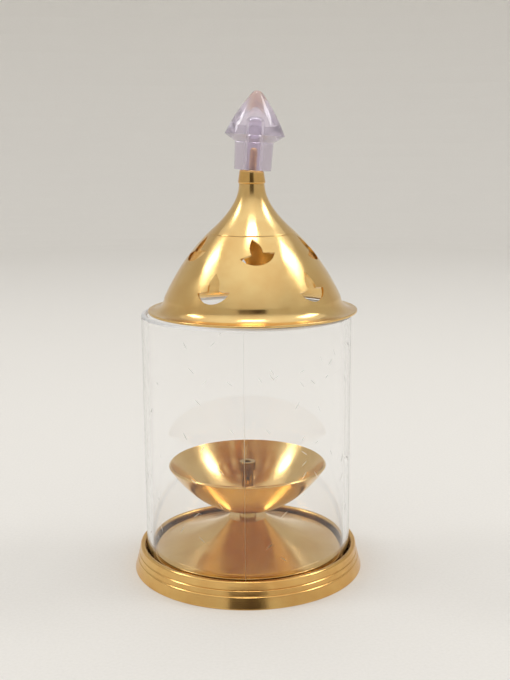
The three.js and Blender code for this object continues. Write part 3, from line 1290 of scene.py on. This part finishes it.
        def lift(spots: np.ndarray, source: np.ndarray, extra: float) -> np.ndarray:
            turn = spots[:, 0] + extra
            radius, height = at(spots[:, 1], length, source).T
            return np.stack([radius * np.sin(turn), -radius * np.cos(turn), height], axis=1)

        total = None
        for k in range(SECTORS):
            extra = 2 * math.pi * k / SECTORS
            outer, inner = lift(flat, line, extra), lift(flat, inner_line, extra)
            turning = np.stack([(flat[:, 0] + extra) / (2 * math.pi), flat[:, 1] * MM], axis=1)
            count = len(flat)
            walls = []
            for numbers in loops:
                following = np.roll(numbers, -1)
                walls.append(np.stack([numbers, numbers + count, following + count, following], axis=1))
            faces = [triangles, triangles[:, ::-1] + count, *walls]
            part = Surface(np.concatenate([outer, inner]), faces, np.concatenate([turning, turning]))
            total = part if total is None else total.joined(part)

        def stretch(source: np.ndarray, start: float, end: float) -> np.ndarray:
            inside = source[(length > start) & (length < end)]
            first, last = at(np.array([start, end]), length, source)
            return np.concatenate([[first], inside[::2], [last]])

        start = math.radians(self.sector_start)
        flange_top = box.low + self.wall
        inward = box.radius - 2
        corners = [(box.radius, box.low), (box.radius, flange_top), (inward, flange_top), (inward, box.low)]
        edge = softened(np.array(corners), self.edge_round)
        edge = edge[edge[:, 0] > box.radius - self.edge_round - 0.01]
        below = np.concatenate(
            [
                stretch(inner_line, 2.2, low)[::-1],
                [(box.radius - 1.2, box.low)],
                edge[np.argsort(edge[:, 1], kind="stable")],
                stretch(line, 0.4, low),
            ]
        )
        top = np.array(
            [
                (self.neck_radius, box.high),
                (self.hole_radius, box.high),
                (self.hole_radius, box.high - self.wall),
                (self.neck_radius - self.wall, box.high - self.wall),
            ]
        )
        above = np.concatenate(
            [stretch(lined, high, length[-1] - 0.3), top, stretch(inner_line, high, length[-1] - 1.2)[::-1]]
        )
        for band in (below, above):
            total = total.joined(turned_surface(band, COLUMNS, start))
        return make_piece("lid_dome_pierced", total, Vector((box.axis_x, 0, 0)))

    def ferrule(self, knob: Knob) -> bpy.types.Object:
        """Builds the tapered collar between the neck and the knob, whose top follows the knob's lean.

        Args:
            knob: The knob that seats on it.

        Returns:
            The ferrule.
        """
        box = NodeBox.of("neck_ferrule")
        top_radius = self.neck_radius - 0.2
        outline = np.array(
            [
                (self.hole_radius, box.low),
                (box.radius - 0.3, box.low),
                (box.radius, box.low + 0.4),
                (top_radius, box.high - 0.35),
                (top_radius - 0.35, box.high),
                (self.hole_radius, box.high),
            ]
        )
        piece = turned_piece("neck_ferrule_turned", outline, 0.25, box.axis_x)
        place = np.zeros(len(piece.data.vertices) * 3, np.float32)
        piece.data.vertices.foreach_get("co", place)
        place = place.reshape(-1, 3).astype(float) / MM
        seat = knob.seat_height(place[:, 0]) - self.ferrule_gap
        share = (place[:, 2] - box.low) / (box.high - box.low)
        place[:, 2] = box.low + share * (seat - box.low)
        piece.data.vertices.foreach_set("co", (place * MM).astype(np.float32).ravel())
        piece.data.update()
        return piece

    def build(self, knob: Knob) -> None:
        """Builds and dresses the lid and its ferrule.

        Args:
            knob: The knob that stands on the ferrule.
        """
        finish_piece(self.dome(), "lid_dome", Body.LID, self.spun)
        finish_piece(self.ferrule(knob), "neck_ferrule", Body.LID, self.turned)


def within(points: np.ndarray, outline: np.ndarray) -> np.ndarray:
    """Tells which points lie inside a closed outline, by counting edges crossed to the right.

    Args:
        points: The points to test.
        outline: The outline's points, without the first repeated.

    Returns:
        True for each point inside.
    """
    a, b = outline, np.roll(outline, -1, axis=0)
    x, y = points[:, 0][:, None], points[:, 1][:, None]
    spans = (a[:, 1] > y) != (b[:, 1] > y)
    climb = np.where(b[:, 1] == a[:, 1], 1e-12, b[:, 1] - a[:, 1])
    crossing = a[:, 0] + (y - a[:, 1]) * (b[:, 0] - a[:, 0]) / climb
    return np.sum(spans & (x < crossing), axis=1) % 2 == 1


@dataclass
class Knob:
    """The clear knob and its screw, which lean together on the neck."""

    plastic: bpy.types.Material
    turned: bpy.types.Material
    lean: float = math.radians(4)
    screw_radius: float = 1.5
    thread_pitch: float = 0.5
    thread_depth: float = 0.22
    seat_gap: float = 0.3
    shank_low_radius: float = 6.9
    shank_high_radius: float = 7.25
    shank_height: float = 10.2
    brim_radius: float = 11.2
    brim_rise: float = 12.8
    tip_radius: float = 2.0
    tip_drop: float = 0.9
    height: float = 28.88
    cone_pull: Range = (0.33, 0.5)
    tip_pull: Range = (0.4, 1)
    bore_radius: float = 2.4
    bore_depth: float = 17.9
    screw_reach: float = 8.2
    head_radius: float = 2.6
    head_height: float = 1.8
    lid_wall: float = 0.9
    washer: float = 0.6
    washer_width: float = 1.4
    end_taper: float = 0.5

    def pivot(self) -> Vector:
        """The point that knob and screw lean about: the middle of the neck's top, in millimetres."""
        neck = NodeBox.of("lid_dome")
        return Vector((neck.axis_x, 0.0, neck.high))

    def bottom(self) -> float:
        """Height of the knob's foot over the pivot, along the leaning axis."""
        ferrule = NodeBox.of("neck_ferrule")
        top_radius = ferrule.radius - 0.6
        return ferrule.high - ferrule.low + self.seat_gap + top_radius * math.sin(self.lean)

    def seat_height(self, across: np.ndarray) -> np.ndarray:
        """Height of the knob's leaning foot face at places along X, in millimetres.

        Args:
            across: The places.

        Returns:
            One height for each place.
        """
        pivot = self.pivot()
        return pivot.z + (self.bottom() - (across - pivot.x) * math.sin(self.lean)) / math.cos(self.lean)

    def leaned(self, piece: bpy.types.Object) -> bpy.types.Object:
        """Leans a piece that was built on the Z axis, and puts it on the pivot.

        Args:
            piece: The object.

        Returns:
            The same object.
        """
        piece.data.transform(Matrix.Translation(self.pivot() * MM) @ Matrix.Rotation(self.lean, 4, "Y"))
        return piece

    def knob(self) -> bpy.types.Object:
        """Builds the knob: drafted shank, bevelled brim, cone with a round tip, and a blind bore.

        Returns:
            The knob.
        """
        low = self.bottom()
        bore = self.bore_radius
        bore_top = low + self.bore_depth
        bore_end = bend((0, bore_top), (bore, bore_top - bore), (1, 0), 16)
        tip_start = (self.tip_radius, low + self.height - self.tip_drop)
        outline = np.concatenate(
            [
                bore_end,
                [(bore, low), (self.shank_low_radius, low)],
                [(self.shank_high_radius, low + self.shank_height)],
                bend((self.brim_radius, low + self.brim_rise), tip_start, self.cone_pull, 40),
                bend(tip_start, (0, low + self.height), self.tip_pull, 16)[1:],
            ]
        )
        return self.leaned(turned_piece("knob_moulded", outline, 0.12))

    def screw(self) -> bpy.types.Object:
        """Builds the knob screw: its radius is a saw wave of height less turn, so its thread winds.

        Returns:
            The screw.
        """
        lean_room = (self.screw_radius + self.washer_width) * math.sin(self.lean)
        head_top = -(self.lid_wall + self.seat_gap + lean_room) - self.washer
        tip = self.bottom() + self.screw_reach
        head_low = head_top - self.head_height
        turns = np.linspace(0, 2 * math.pi, 49)
        end = tip - self.end_taper
        height = np.linspace(head_top, end, int((tip - head_top) / self.thread_pitch * 8))
        phase = height[:, None] / self.thread_pitch - turns[None, :] / (2 * math.pi)
        saw = np.abs(2 * (phase % 1) - 1)
        fade = np.clip(np.minimum(end - height, height - head_top) / self.end_taper, 0, 1)[:, None]
        radius = self.screw_radius - self.thread_depth * (1 - saw * fade)
        x, y = radius * np.sin(turns), -radius * np.cos(turns)
        z = np.broadcast_to(height[:, None], x.shape)
        round_share = np.broadcast_to(turns / (2 * math.pi), x.shape)
        turning = np.stack([round_share, z * MM], axis=-1).reshape(-1, 2)
        points = np.stack([x, y, z], axis=-1).reshape(-1, 3)
        shank = Surface(points, [grid_faces(len(height), len(turns))], turning)
        root = self.screw_radius - self.thread_depth
        head = softened(
            np.array(
                [
                    (0, head_low),
                    (self.head_radius * 0.7, head_low),
                    (self.head_radius, head_low + 0.7),
                    (self.head_radius, head_top),
                    (0, head_top),
                ]
            ),
            0.2,
        )
        head[-1] = (root, head_top)
        point = np.array([(root, end), (root * 0.6, tip), (0, tip)])
        whole = shank.joined(turned_surface(head, 48)).joined(turned_surface(point, 48))
        return self.leaned(make_piece("knob_screw_threaded", whole))

    def build(self) -> None:
        """Builds and dresses the knob and its screw."""
        knob = self.knob()
        knob.visible_shadow = False
        finish_piece(knob, "knob", Body.LID, self.plastic)
        finish_piece(self.screw(), "knob_screw", Body.LID, self.turned)


@dataclass
class HiddenFasteners:
    """The screw and washers that stay as packed, under the stand and inside the neck."""

    steel: bpy.types.Material
    brass: bpy.types.Material

    def build(self, nodes: dict[str, bpy.types.Object]) -> None:
        """Gives each packed fastener its finish.

        Args:
            nodes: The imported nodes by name.
        """
        finishes = {
            "flat_washer": self.steel,
            "spring_washer": self.steel,
            "centre_screw": self.steel,
            "knob_washer": self.brass,
        }
        for node, material in finishes.items():
            nodes[node].data.materials.clear()
            nodes[node].data.materials.append(material)
            LOG.info("%s: finished as packed", node)


@dataclass
class Studio:
    """A round pale floor that rises to a wall, three soft lamps, and the camera at the photograph's angle."""

    floor_colour: str = "#EDEAE5"
    floor_shade: str = "#E2DFD9"
    floor_radius: float = 1.2
    bend_radius: float = 0.5
    wall_height: float = 1.5
    aim_height: float = 0.09
    sky_low: float = 0.45
    sky_high: float = 1.0
    card_colour: str = "#5A5148"
    card_shade: str = "#463F38"
    card_half_width: float = 0.24
    card_height: float = 0.55
    card_back: float = 0.75
    focal_pixels: float = 1030.0
    frame_height_pixels: float = 680.0
    sensor_mm: float = 36.0
    camera_back: float = 0.3886
    camera_side: float = 0.00325
    camera_height: float = 0.165
    camera_pitch: float = math.radians(10.92)
    camera_roll: float = math.radians(-0.36)

    def floor(self) -> None:
        """Builds the floor and its curved wall as one turned sheet, which is not part of the lamp."""
        angle = np.linspace(0, math.pi / 2, 24)
        rise = np.stack(
            [
                self.floor_radius + self.bend_radius * np.sin(angle),
                self.bend_radius * (1 - np.cos(angle)),
            ],
            axis=1,
        )
        top = (self.floor_radius + self.bend_radius, self.wall_height)
        line = np.concatenate([[(0.0, 0.0)], rise, [top]])[::-1] / MM
        sheet = make_piece("studio_floor", turned_surface(line, 96))
        nodes = Nodes(bpy.data.materials.new("pale_matte_floor"))
        speckle = nodes.noise(nodes.place(), {"Scale": 900.0, "Detail": 3.0})
        tone = nodes.mixed(speckle, self.floor_colour, self.floor_shade)
        sheet.data.materials.append(nodes.principled({"Roughness": 0.75}, {"Base Color": tone}))

    def lamp(self, name: str, place: tuple[float, float, float], power: float, size: float) -> None:
        """Adds one soft square lamp that faces the lamp's dome.

        Args:
            name: The lamp's name.
            place: Where it stands, in metres.
            power: Its power in watts.
            size: Its side in metres.
        """
        light = bpy.data.lights.new(name, "AREA")
        light.energy = power
        light.size = size
        holder = linked(name, light)
        holder.location = place
        aim = Vector((0, 0, self.aim_height)) - Vector(place)
        holder.rotation_euler = aim.to_track_quat("-Z", "Y").to_euler()

    def lights(self) -> None:
        """Sets a surround that brightens towards the ceiling, and the three lamps."""
        nodes = Nodes(bpy.data.worlds.new("studio"))
        height = nodes.part(nodes.place("Generated"), "Z")
        strength = nodes.ranged(height, (0.3, 0.9), (self.sky_low, self.sky_high))
        white = {"Color": (1.0, 1.0, 1.0, 1.0)}
        background = nodes.add("ShaderNodeBackground", white, {"Strength": strength})
        nodes.add("ShaderNodeOutputWorld", links={"Surface": background.outputs[0]})
        bpy.context.scene.world = nodes.owner
        self.lamp("lamp_left", (-0.8, 0.12, 0.93), 1.6, 0.26)
        self.lamp("lamp_right", (0.76, 0.1, 0.93), 1.9, 0.34)
        self.lamp("lamp_top", (0.0, -0.02, 1.15), 1.6, 0.26)

    def card(self) -> None:
        """Stands a dark card behind the camera, so that polished brass shows a darker middle."""
        across, back, top = self.card_half_width, -self.card_back, self.card_height
        mesh = bpy.data.meshes.new("camera_card")
        corners = [(-across, back, 0.0), (across, back, 0.0), (across, back, top), (-across, back, top)]
        mesh.from_pydata(corners, [], [(0, 3, 2, 1)])
        card = linked("camera_card", mesh)
        nodes = Nodes(bpy.data.materials.new("dark_card"))
        felt = nodes.noise(nodes.place(), {"Scale": 400.0})
        tone = nodes.mixed(felt, self.card_colour, self.card_shade)
        mesh.materials.append(nodes.principled({"Roughness": 0.9}, {"Base Color": tone}))
        card.visible_camera = False
        card.visible_diffuse = False
        card.visible_transmission = False
        card.visible_shadow = False

    def camera(self) -> None:
        """Puts the camera where the photograph was taken from."""
        data = bpy.data.cameras.new("photo_camera")
        data.sensor_width = self.sensor_mm
        data.lens = self.focal_pixels / self.frame_height_pixels * self.sensor_mm
        data.clip_start = 0.01
        camera = linked("photo_camera", data)
        camera.location = (self.camera_side, -self.camera_back, self.camera_height)
        look = Vector((0.0, math.cos(self.camera_pitch), -math.sin(self.camera_pitch)))
        camera.rotation_mode = "QUATERNION"
        camera.rotation_quaternion = look.to_track_quat("-Z", "Y")
        camera.rotation_quaternion.rotate(Quaternion(-look, self.camera_roll))
        bpy.context.scene.camera = camera

    def build(self) -> None:
        """Builds floor, lights and camera, and sets the plain view transform."""
        self.floor()
        self.card()
        self.lights()
        self.camera()
        bpy.context.scene.view_settings.view_transform = "Standard"


def main() -> None:
    """Loads the frame, builds each sub-assembly in order, and sets the studio."""
    logging.basicConfig(level=logging.INFO, format="%(name)s %(message)s")
    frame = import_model()
    spun, turned_brass = SPUN_BRASS.build(), TURNED_BRASS.build()
    BaseStack(spun, turned_brass, SHADE_DARKENED_BRASS.build()).build()
    Chimney(DrawnGlass()).build()
    knob = Knob(MouldedClear().build(), turned_brass)
    Lid(spun, turned_brass).build(knob)
    knob.build()
    HiddenFasteners(PlatedSteel().build(), turned_brass).build(frame["nodes"])
    Studio().build()
    bpy.context.view_layer.update()


if __name__ == "__main__":
    main()
